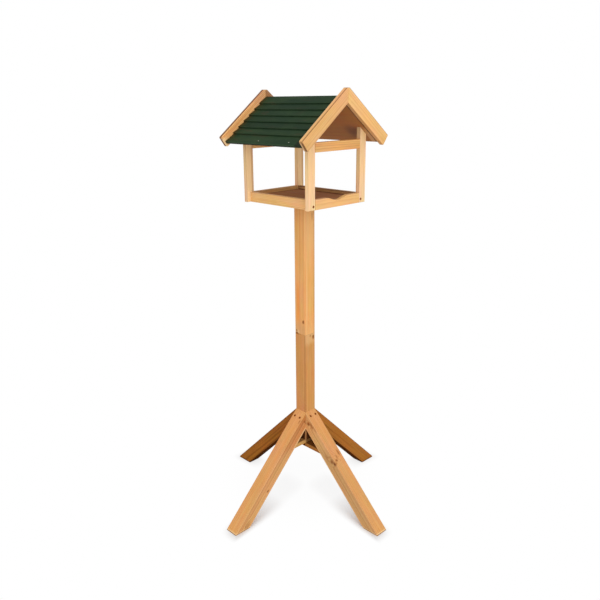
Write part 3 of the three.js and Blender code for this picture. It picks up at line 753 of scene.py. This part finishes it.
def board_profiles():
    """The outline of each board as (run down the slope, height, whether the edge is worn)."""
    back = LINING_THICKNESS + BOARD_GAP
    top_butt = ridge_at(back) + TOP_BOARD_WIDTH
    exposure = (EAVE_RUN - EAVE_BOARD_WIDTH + BOARD_LAP - top_butt) / (BOARD_COUNT - 2)
    common = exposure + BOARD_LAP
    face_top = back + BUTT_THICKNESS
    profiles = []
    widths = [TOP_BOARD_WIDTH, *[common] * (BOARD_COUNT - 2), EAVE_BOARD_WIDTH]
    for index, width in enumerate(widths):
        at_eave = index == BOARD_COUNT - 1
        butt = EAVE_RUN if at_eave else top_butt + index * exposure
        taper = (BUTT_THICKNESS - FEATHER_THICKNESS) / width
        if index == 0:
            slant = math.tan(ROOF_PITCH)
            rise = (face_top - (butt - ridge_at(0)) * taper) / (1 - slant * taper)
            top = [(ridge_at(rise), rise, 0), (ridge_at(back), back, 0)]
        else:
            top = [(butt - width, face_top - width * taper, 0), (butt - width, back, 0)]
        if at_eave:
            foot = [(butt, back, 1)]
        else:
            next_width = widths[index + 1]
            thinned = (next_width - BOARD_LAP) * (BUTT_THICKNESS - FEATHER_THICKNESS) / next_width
            rebate = back + BUTT_THICKNESS - thinned + BOARD_GAP
            step = butt - BOARD_LAP - BOARD_GAP
            foot = [(step, back, 0), (step, rebate, 0), (butt, rebate, 1)]
        profiles.append([(butt, face_top, 1), *reversed(foot), *reversed(top)])
    return profiles


def lapped_roof():
    """Runs every outline along Y, eases its worn edges, gives it the slight bow of a real board,
    and lays the set on both slopes."""
    tree, given, made = new_group("lapped_roof", {
        "Geometry": ("Geometry", None), "Length": ("Float", 0.338), "Pitch": ("Float", 0.66),
        "Peak": ("Float", 1.36), "Setback": ("Float", 0.002), "Wear": ("Float", 0.0012),
        "Bow": ("Float", 0.0006), "Stations": ("Int", 48), "Seed": ("Float", 3.0),
        "Material": ("Material", None),
    }, {"Geometry": "Geometry"}, "GeometryNodeTree")
    loops = wire(tree, "GeometryNodeMeshToCurve", {}, {"Mesh": given["Geometry"]})
    worn = wire(tree, "GeometryNodeInputNamedAttribute", {"data_type": "FLOAT"}, {"Name": "worn"})
    inputs = {"Curve": loops, "Count": 3, "Radius": product(tree, worn, given["Wear"])}
    eased = wire(tree, "GeometryNodeFilletCurve", {"mode": "POLY"}, inputs)
    start = combine(tree, y=product(tree, given["Length"], -0.5))
    end = combine(tree, y=product(tree, given["Length"], 0.5))
    rail = wire(tree, "GeometryNodeCurvePrimitiveLine", {}, {"Start": start, "End": end})
    rail = wire(tree, "GeometryNodeResampleCurve", {}, {"Curve": rail, "Count": given["Stations"]})
    inputs = {"Curve": rail, "Profile Curve": eased, "Fill Caps": True}
    boards = wire(tree, "GeometryNodeCurveToMesh", {}, inputs)
    ridge = combine(tree, 0.0, given["Setback"], given["Peak"])
    roof = wire(tree, "GeometryNodeJoinGeometry")
    for half_turn in (0.0, math.pi):
        turn = combine(tree, 0.0, given["Pitch"], half_turn)
        inputs = {"Geometry": boards, "Rotation": turn, "Translation": ridge}
        slope = wire(tree, "GeometryNodeTransform", {}, inputs)
        tree.links.new(slope.outputs[0], roof.inputs[0])
    stretched = vector_maths(tree, "MULTIPLY", wire(tree, "GeometryNodeInputPosition"), (10, 5, 10))
    inputs = {"Vector": stretched, "W": given["Seed"], "Scale": 1.0, "Detail": 0.0}
    drift = wire(tree, "ShaderNodeTexNoise", {"noise_dimensions": "4D"}, inputs).outputs["Fac"]
    drop = product(tree, maths(tree, "SUBTRACT", drift, 1.0), given["Bow"])
    bowed = wire(tree, "GeometryNodeSetPosition", {}, {"Geometry": roof, "Offset": combine(tree, z=drop)})
    real = wire(tree, "GeometryNodeRealizeInstances", {}, {0: bowed})
    inputs = {"Geometry": real, "Material": given["Material"]}
    finished = wire(tree, "GeometryNodeSetMaterial", {}, inputs)
    tree.links.new(finished.outputs[0], made["Geometry"])
    return tree


# Where the painted shade beside the front barge boards runs, and where the boards end by the rear ones.
FRONT_SHADE_START = ROOF_SETBACK - ROOF_HALF_LENGTH + 0.030
BOARDS_REAR_END = ROOF_SETBACK + ROOF_HALF_LENGTH
EAVE_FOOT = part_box("left_roof_board_7")[0].z


def green_stained():
    """Dark green wood stain, thin enough that brown wood shows through in patches, and paler on
    the butts and other faces that do not look up, as worn stain and as painted light in the shade of
    the laps, with painted shade beside the front barge boards and by the rear ones, and darker along
    the foot of the eaves."""
    material, tree, shader, place = new_material("green_stain")
    at = split(tree, place)
    fibre = noise(tree, place, (900, 26, 900), 3.0, 0.6)
    cloud = noise(tree, place, (24, 9, 24), 3.0, 0.6)
    board = wire(tree, "ShaderNodeAttribute", {"attribute_name": "board"}).outputs["Fac"]
    tone = wire(tree, "ShaderNodeTexWhiteNoise", {"noise_dimensions": "1D"}, {"W": board}).outputs["Value"]
    colour = blend(tree, ease(tree, cloud, 0.35, 0.7), stain(23, 46, 26), stain(36, 57, 30))
    colour = blend(tree, product(tree, ease(tree, fibre, 0.5, 0.75), 0.3), colour, stain(45, 56, 32))
    thin = ease(tree, noise(tree, place, (60, 14, 60), 4.0, 0.65), 0.54, 0.70)
    far = maths(tree, "MULTIPLY_ADD", ease(tree, at["Y"], 0.0, 0.15), 0.5, 0.3)
    colour = blend(tree, product(tree, thin, far), colour, stain(57, 45, 28))
    colour = blend(tree, 1.0, colour, maths(tree, "MULTIPLY_ADD", tone, 0.2, 0.9), "MULTIPLY")
    normal = split(tree, wire(tree, "ShaderNodeNewGeometry").outputs["True Normal"])
    # Paler butts: worn stain, and painted light in the shade of the laps.
    butt = product(tree, ease(tree, normal["Z"], 0.5, 0.0), 0.5)
    colour = blend(tree, butt, colour, stain(63, 85, 59))
    # Painted shade by the rear barge boards.
    rear_barge_shade = product(tree, ease(tree, at["Y"], BOARDS_REAR_END - 0.026, BOARDS_REAR_END - 0.002), 0.75)
    colour = blend(tree, rear_barge_shade, colour, stain(60, 50, 16))
    # Painted shade beside the front barge boards, and darker along the foot of the eaves.
    front_barge_shade = ease(tree, at["Y"], FRONT_SHADE_START + 0.003, FRONT_SHADE_START - 0.001)
    drip = ease(tree, at["Z"], EAVE_FOOT + 0.0050, EAVE_FOOT + 0.0025)
    colour = blend(tree, product(tree, most(tree, front_barge_shade, drip), 0.8), colour, stain(20, 26, 14))
    roughness = maths(tree, "MULTIPLY_ADD", fibre, 0.2, 0.6)
    bump = wire(tree, "ShaderNodeBump", {}, {"Height": fibre, "Strength": 0.4, "Distance": 0.0004})
    plug(tree, shader, {"Base Color": colour, "Roughness": roughness, "Specular IOR Level": 0.12,
                        "Normal": bump})
    return material


points, edges, worn, numbers = [], [], [], []
for number, profile in enumerate(board_profiles()):
    first, count = len(points), len(profile)
    points += [(run, -height, 0.0) for run, height, _ in profile]
    edges += [(first + index, first + (index + 1) % count) for index in range(count)]
    worn += [float(edge_is_worn) for _, _, edge_is_worn in profile]
    numbers += [float(number)] * count
roof_mesh = bpy.data.meshes.new("roof_boards")
roof_mesh.from_pydata(points, edges, [])
for attribute, values in (("worn", worn), ("board", numbers)):
    roof_mesh.attributes.new(attribute, "FLOAT", "POINT").data.foreach_set("value", values)
roof_boards = settle(new_piece("roof_boards", roof_mesh), lapped_roof(), {
    "Length": 2 * (ROOF_HALF_LENGTH - BOARD_END_GAP), "Pitch": ROOF_PITCH, "Peak": ROOF_PEAK,
    "Setback": ROOF_SETBACK, "Wear": BOARD_WEAR, "Bow": BOARD_BOW, "Stations": 48, "Seed": 3.0,
    "Material": green_stained()})
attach(roof_boards, "root")
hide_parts(*[f"{side}_roof_board_{number}" for side in ("left", "right")
                           for number in range(1, BOARD_COUNT + 1)])

# Barge boards
# Flat boards nailed over the roof's ends, mitred plumb and glued at a blunt peak and rounded at
# the tails. Their upper outer arrises are darker, and their edges and tails carry painted shade and
# painted light.
BARGE_THICKNESS, BARGE_WIDTH, BARGE_DROP, BARGE_TAIL = 0.014, 0.037, 0.004, 0.003
BARGE_CENTRE_RUN = 0.1
TAIL_END = EAVE_RUN + BARGE_TAIL - BARGE_CENTRE_RUN
TAIL_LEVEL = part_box("front_left_barge_board")[0].z + 0.012
PEAK_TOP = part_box("front_left_barge_board")[1].z
barge_colours = {
    "front_left": ((230, 180, 121), (201, 144, 88), (225, 164, 100)),
    "front_right": ((240, 192, 126), (212, 152, 88), (236, 172, 102)),
    "rear_left": ((255, 212, 148), (210, 136, 82), (238, 152, 88)),
    "rear_right": ((206, 154, 104), (164, 106, 64), (190, 122, 70)),
}


def on_slope(side, run, y, rise):
    """A point by its run down a slope, its place along the ridge and its height off the underside."""
    x = run * math.cos(ROOF_PITCH) + rise * math.sin(ROOF_PITCH)
    return Vector((side * x, y, ROOF_PEAK - run * math.sin(ROOF_PITCH) + rise * math.cos(ROOF_PITCH)))


def barge_masks(gable, outward):
    """The upper outer arris is darker and warmer. On the rear boards this, the upper edge and the outer
    side of the low tail are painted shade, and the part round the peak is darker too. On the tail's end
    the lower outer part carries painted shade and the inner side painted light, and on the rear boards
    the inner side of the whole low tail is painted light. At the front the lower edge face carries
    painted shade and the upper inner arris a painted highlight. The blunt peak is darker."""
    front = gable == "front"
    worn = 0.1 if front else 0.5

    def masks(tree, local, shared):
        height = product(tree, local["X"], -1.0)
        side = product(tree, local["Y"], outward)
        top = ease(tree, height, BARGE_WIDTH / 2 - 0.0026, BARGE_WIDTH / 2 - 0.0008)
        low = ease(tree, shared["Z"], TAIL_LEVEL + 0.020, TAIL_LEVEL + 0.006)
        arris = BARGE_THICKNESS / 2 - 0.003 * worn
        wander = noise(tree, combine(tree, local["Y"], z=local["Z"]), (400, 1, 60), 3.0, 0.6)
        # Darker along the upper outer arris and the outer side of the low tail, as painted shade on the
        # rear boards.
        rim = most(tree, product(tree, top, ease(tree, wander, 0.05, 0.50)), product(tree, low, worn))
        rim = product(tree, rim, ease(tree, side, arris - 0.0034, arris - 0.0010))
        end = maths(tree, "ABSOLUTE", local["Z"])
        # Painted shade on the lower outer part of the tail's end.
        end = product(tree, low, ease(tree, end, TAIL_END - 0.0014, TAIL_END - 0.0004))
        tail_end_shade = product(tree, end, ease(tree, side, -0.003, 0.001), ease(tree, height, 0.016, 0.010))
        # Painted shade on the lower edge face of the front boards.
        under = ease(tree, height, 0.0014 - BARGE_WIDTH / 2, 0.0004 - BARGE_WIDTH / 2)
        under = product(tree, under, 0.28 if front else 0.0)
        peak = ease(tree, shared["Z"], PEAK_TOP - 0.0016, PEAK_TOP - 0.0006)
        round_peak = ease(tree, shared["Z"], PEAK_TOP - 0.055, PEAK_TOP - 0.005)
        # Painted shade on the upper edge of the rear boards.
        edge = product(tree, top, ease(tree, side, -0.0055, -0.0025))
        dark = most(tree, product(tree, rim, 0.55 + 0.6 * worn), product(tree, edge, 2.0 * (worn - 0.1)),
                    product(tree, peak, 0.4), product(tree, round_peak, 0.0 if front else 0.3),
                    product(tree, tail_end_shade, 0.5 + 0.4 * worn), under)
        # Painted light on the inner side of the tail, and a painted highlight on the upper inner arris of
        # the front boards.
        inner = ease(tree, side, 0.001, -0.002)
        inner_arris_highlight = ease(tree, side, 0.0034 - BARGE_THICKNESS / 2, 0.0014 - BARGE_THICKNESS / 2)
        pale = most(tree, product(tree, low, inner, 2.0 * (worn - 0.1)), product(tree, end, inner, 0.5),
                    product(tree, top, inner_arris_highlight, 0.6 if front else 0.0))
        warm = most(tree, product(tree, top, 0.8 * worn), product(tree, rim, 0.9),
                    product(tree, under, 1.8))
        return pale, dark, warm
    return masks


for gable, end in (("front", -1), ("rear", 1)):
    contrast, streaks = (0.6, 0.4) if gable == "front" else (1.0, 0.8)
    for side, sign, half_turn in (("left", -1, math.pi), ("right", 1, 0.0)):
        name = f"{gable}_{side}_barge_board"
        y = ROOF_SETBACK + end * (ROOF_HALF_LENGTH + BARGE_THICKNESS / 2)
        centre = on_slope(sign, BARGE_CENTRE_RUN, y, BARGE_WIDTH / 2 - BARGE_DROP)
        turn = (0, math.pi / 2 + ROOF_PITCH, half_turn)
        wood = timber(name + "_wood", barge_colours[f"{gable}_{side}"], centre, turn, (0.02, 0.03, 0), (),
                      barge_masks(gable, end * sign), Contrast=contrast, Streaks=streaks)
        dress(name, wood)

# Nails
# Round flat heads of galvanised wire nails, dulled by stain: two through each gable rail into
# the floor's edge, two in the face of each barge board, and two in each eave board.
NAIL_HEAD, NAIL_RIM, NAIL_SHANK, NAIL_LENGTH = 0.0034, 0.0006, 0.0016, 0.012
NAIL_TIP, NAIL_DOME, NAIL_SINK = 0.002, 0.0001, 0.0002
RAIL_NAIL_OUT, RAIL_NAIL_RISE = 0.0478, 0.0156
BARGE_NAIL_RUNS, BARGE_NAIL_RISE = (0.065, 0.165), 0.0105
EAVE_NAIL_RUN, EAVE_NAIL_PLACES, EAVE_NAIL_PROUD = 0.197, (0.025, -0.105), 0.0001
nail_heads = []
for end in (-1, 1):
    barge_face = ROOF_SETBACK + end * (ROOF_HALF_LENGTH + BARGE_THICKNESS)
    for side in (-1, 1):
        points = [(RAIL_NAIL_OUT * side, HALF_FRAME_DEPTH * end, FRAME_FOOT + RAIL_NAIL_RISE)]
        points += [on_slope(side, run, barge_face, BARGE_NAIL_RISE) for run in BARGE_NAIL_RUNS]
        nail_heads += [sunk(point, (0, end, 0), NAIL_SINK) for point in points]
face_fall = (BUTT_THICKNESS - FEATHER_THICKNESS) * (EAVE_RUN - EAVE_NAIL_RUN) / EAVE_BOARD_WIDTH
eave_face = LINING_THICKNESS + BOARD_GAP + BUTT_THICKNESS - face_fall
for side in (-1, 1):
    facing = Vector((side * math.sin(ROOF_PITCH), 0, math.cos(ROOF_PITCH)))
    points = [on_slope(side, EAVE_NAIL_RUN, y, eave_face) for y in EAVE_NAIL_PLACES]
    nail_heads += [sunk(point, facing, -EAVE_NAIL_PROUD) for point in points]
nail_sizes = {"Head": NAIL_HEAD, "Rim": NAIL_RIM, "Head Depth": NAIL_RIM + 0.0002, "Shank": NAIL_SHANK,
              "Length": NAIL_LENGTH, "Tip": NAIL_TIP, "Recess": 0.0, "Dome": NAIL_DOME, "Sides": 16}


def galvanised():
    """The heads on the eaves have kept their zinc, and the others are browned by stain."""
    material, tree, shader, place = new_material("galvanised_steel")
    mottle = noise(tree, place, (1400, 1400, 1400), 2.0)
    stained = blend(tree, mottle, stain(82, 48, 24), stain(104, 66, 36))
    zinc = blend(tree, mottle, stain(128, 134, 120), stain(168, 168, 152))
    on_eaves = ease(tree, maths(tree, "ABSOLUTE", split(tree, place)["Y"]), 0.140, 0.120)
    roughness = maths(tree, "MULTIPLY_ADD", mottle, 0.3, 0.35)
    plug(tree, shader, {"Base Color": blend(tree, on_eaves, stained, zinc), "Roughness": roughness,
                        "Metallic": 0.2})
    return material


nails = drive_pins("nails", nail_heads, nail_sizes, galvanised())
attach(nails, "root")

# Stage
# A pale floor under plain soft light, and the camera at the photograph's angle. Beside the legs
# the floor is drawn in shade where the photograph has it.
WORLD_LIGHT, FLOOR_REACH = 0.74, 30.0
FOOT_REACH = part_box("right_leg")[1].x


def camera_sees(tree):
    """1 for what the camera sees, also mirrored or through glass, and 0 for what lights the table."""
    path = wire(tree, "ShaderNodeLightPath").outputs
    seen = maths(tree, "ADD", path["Is Camera Ray"], path["Is Glossy Ray"])
    return maths(tree, "ADD", seen, path["Is Transmission Ray"])


world = bpy.data.worlds.new("studio")
bpy.context.scene.world = world
world.use_nodes = True
tree = world.node_tree
inputs = {"Value": camera_sees(tree), "To Min": WORLD_LIGHT, "To Max": 1.0}
strength = wire(tree, "ShaderNodeMapRange", {}, inputs)
plug(tree, tree.nodes["Background"], {"Color": (1, 1, 1, 1), "Strength": strength})

floor_mesh = bpy.data.meshes.new("floor")
corners = [(FLOOR_REACH * x, FLOOR_REACH * y, 0) for x, y in ((-1, -1), (1, -1), (1, 1), (-1, 1))]
floor_mesh.from_pydata(corners, [], [(0, 1, 2, 3)])
floor = new_piece("floor", floor_mesh)
floor_paint, tree, shader, place = new_material("floor_paint")
plug(tree, shader, {"Base Color": (0.79, 0.79, 0.80, 1), "Roughness": 0.9, "Specular IOR Level": 0.0})
flat = split(tree, place)


def to_foot(tree, along):
    """1 as far out as a leg's toe, and 0 a little beyond it."""
    return ease(tree, along, FOOT_REACH + 0.034, FOOT_REACH - 0.005)


def leg_shade(tree, along, across):
    """Shade beside a near leg: dark and narrow by its foot, wide, soft and shifted further in."""
    edge = ease(tree, across, maths(tree, "MULTIPLY_ADD", along, -0.09, -0.018),
                maths(tree, "MULTIPLY_ADD", along, -0.25, 0.057))
    far_edge = ease(tree, maths(tree, "MULTIPLY_ADD", along, 0.35, across), 0.17, 0.11)
    depth = most(tree, product(tree, ease(tree, along, 0.03, 0.30), 0.95),
                 product(tree, ease(tree, along, -0.08, 0.02), 0.17))
    return product(tree, edge, depth, far_edge, to_foot(tree, along))


left_shade = leg_shade(tree, product(tree, flat["X"], -1.0), flat["Y"])
front_shade = leg_shade(tree, product(tree, flat["Y"], -1.0), flat["X"])
from_centre = measure(tree, "DISTANCE", place, (0.05, 0.08, 0.0))
middle_shade = product(tree, ease(tree, from_centre, 0.35, 0.08), 0.05)
along = most(tree, flat["X"], flat["Y"])
across = maths(tree, "ABSOLUTE", maths(tree, "MINIMUM", flat["X"], flat["Y"]))
rear_shade = product(tree, ease(tree, along, 0.20, 0.34), to_foot(tree, along),
                     ease(tree, across, 0.055, 0.015), 0.3)
shade = most(tree, left_shade, front_shade, middle_shade, rear_shade)
white = wire(tree, "ShaderNodeEmission", {}, {"Strength": 1.0})
share = product(tree, camera_sees(tree), maths(tree, "SUBTRACT", 1.0, shade))
both = wire(tree, "ShaderNodeMixShader", {}, {0: share, 1: shader, 2: white})
plug(tree, tree.nodes["Material Output"], {"Surface": both})
floor_mesh.materials.append(floor_paint)


def softbox(name, place, aim, size, power):
    lamp = bpy.data.lights.new(name, "AREA")
    lamp.size = size
    lamp.energy = power
    box = bpy.data.objects.new(name, lamp)
    box.location = place
    box.rotation_euler = (Vector(aim) - Vector(place)).to_track_quat("-Z", "Y").to_euler()
    bpy.context.scene.collection.objects.link(box)


softbox("key", (-1.75, -3.05, 1.5), (0, 0, 0.9), 2.2, 42)
softbox("overhead", (-0.8, -0.8, 3.6), (0, 0, 0.6), 2.4, 18)

# The camera stands at the front left corner, a little above the tray.
AZIMUTH, ELEVATION, ROLL = math.radians(-43.543), math.radians(18.089), math.radians(0.804)
DISTANCE, AIM_ACROSS, AIM_HEIGHT = 2.187678, -0.051809, 0.701492
FOCAL_PIXELS, FRAME_PIXELS, CENTRE_PIXEL = 650.773, 600, (289.54, 309.625)
SENSOR = 36.0
back = Vector((math.sin(AZIMUTH) * math.cos(ELEVATION), -math.cos(AZIMUTH) * math.cos(ELEVATION),
               math.sin(ELEVATION)))
across = Vector((math.cos(AZIMUTH), math.sin(AZIMUTH), 0))
above = back.cross(across)
lens = bpy.data.cameras.new("camera")
lens.sensor_width = SENSOR
lens.lens = FOCAL_PIXELS * SENSOR / FRAME_PIXELS
lens.shift_x = (FRAME_PIXELS / 2 - CENTRE_PIXEL[0]) / FRAME_PIXELS
lens.shift_y = (CENTRE_PIXEL[1] - FRAME_PIXELS / 2) / FRAME_PIXELS
camera = bpy.data.objects.new("camera", lens)
bpy.context.scene.collection.objects.link(camera)
bpy.context.scene.camera = camera
eye = across * AIM_ACROSS + Vector((0, 0, AIM_HEIGHT)) + back * DISTANCE
image_x = across * math.cos(ROLL) - above * math.sin(ROLL)
image_y = across * math.sin(ROLL) + above * math.cos(ROLL)
pose = Matrix([image_x, image_y, back]).transposed().to_4x4()
pose.translation = eye
camera.matrix_world = pose

bpy.context.scene.view_settings.view_transform = "Standard"
